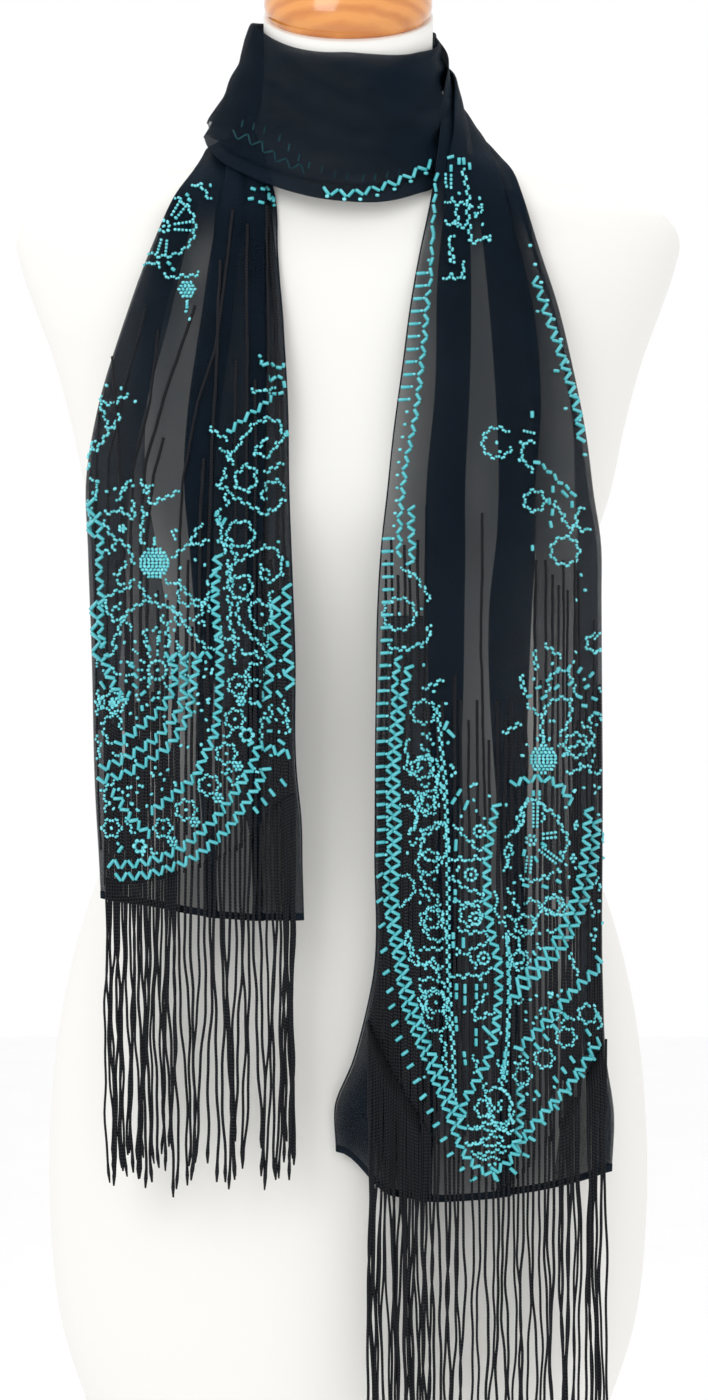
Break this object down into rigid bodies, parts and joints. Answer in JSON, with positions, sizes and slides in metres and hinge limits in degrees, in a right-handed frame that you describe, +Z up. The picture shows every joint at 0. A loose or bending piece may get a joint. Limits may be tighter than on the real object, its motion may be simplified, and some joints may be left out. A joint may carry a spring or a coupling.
{
  "type": "evening stole on dress form",
  "caption": "Sheer beaded evening stole with long fringe, wound once round the neck of a limbless dress form on a round-based stand.",
  "frame": {"origin": "middle of the stand base's underside, on the floor", "axes": "+Z up; the dress form faces -Y, so +X is the wearer's left"},
  "size_m": [0.427, 0.38, 1.505],
  "materials": {
    "form_cover": "white painted, finely textured",
    "turned_wood": "orange-brown gloss varnish",
    "stand_steel": "satin",
    "chiffon": "sheer navy-black crepe chiffon",
    "fringe_cord": "twisted black cord",
    "bead": "opaque turquoise glass, glossy"
  },
  "bodies": {
    "root": {"form_torso": "form_cover", "form_neck_cap": "turned_wood", "stand_base": "turned_wood", "stand_pole": "stand_steel", "right_side_tail": "chiffon", "left_side_tail": "chiffon", "neck_band": "chiffon", "nape_wrap": "chiffon", "inner_turn": "chiffon", "right_side_fringe": "fringe_cord", "left_side_fringe": "fringe_cord"}
  },
  "joints": []
}
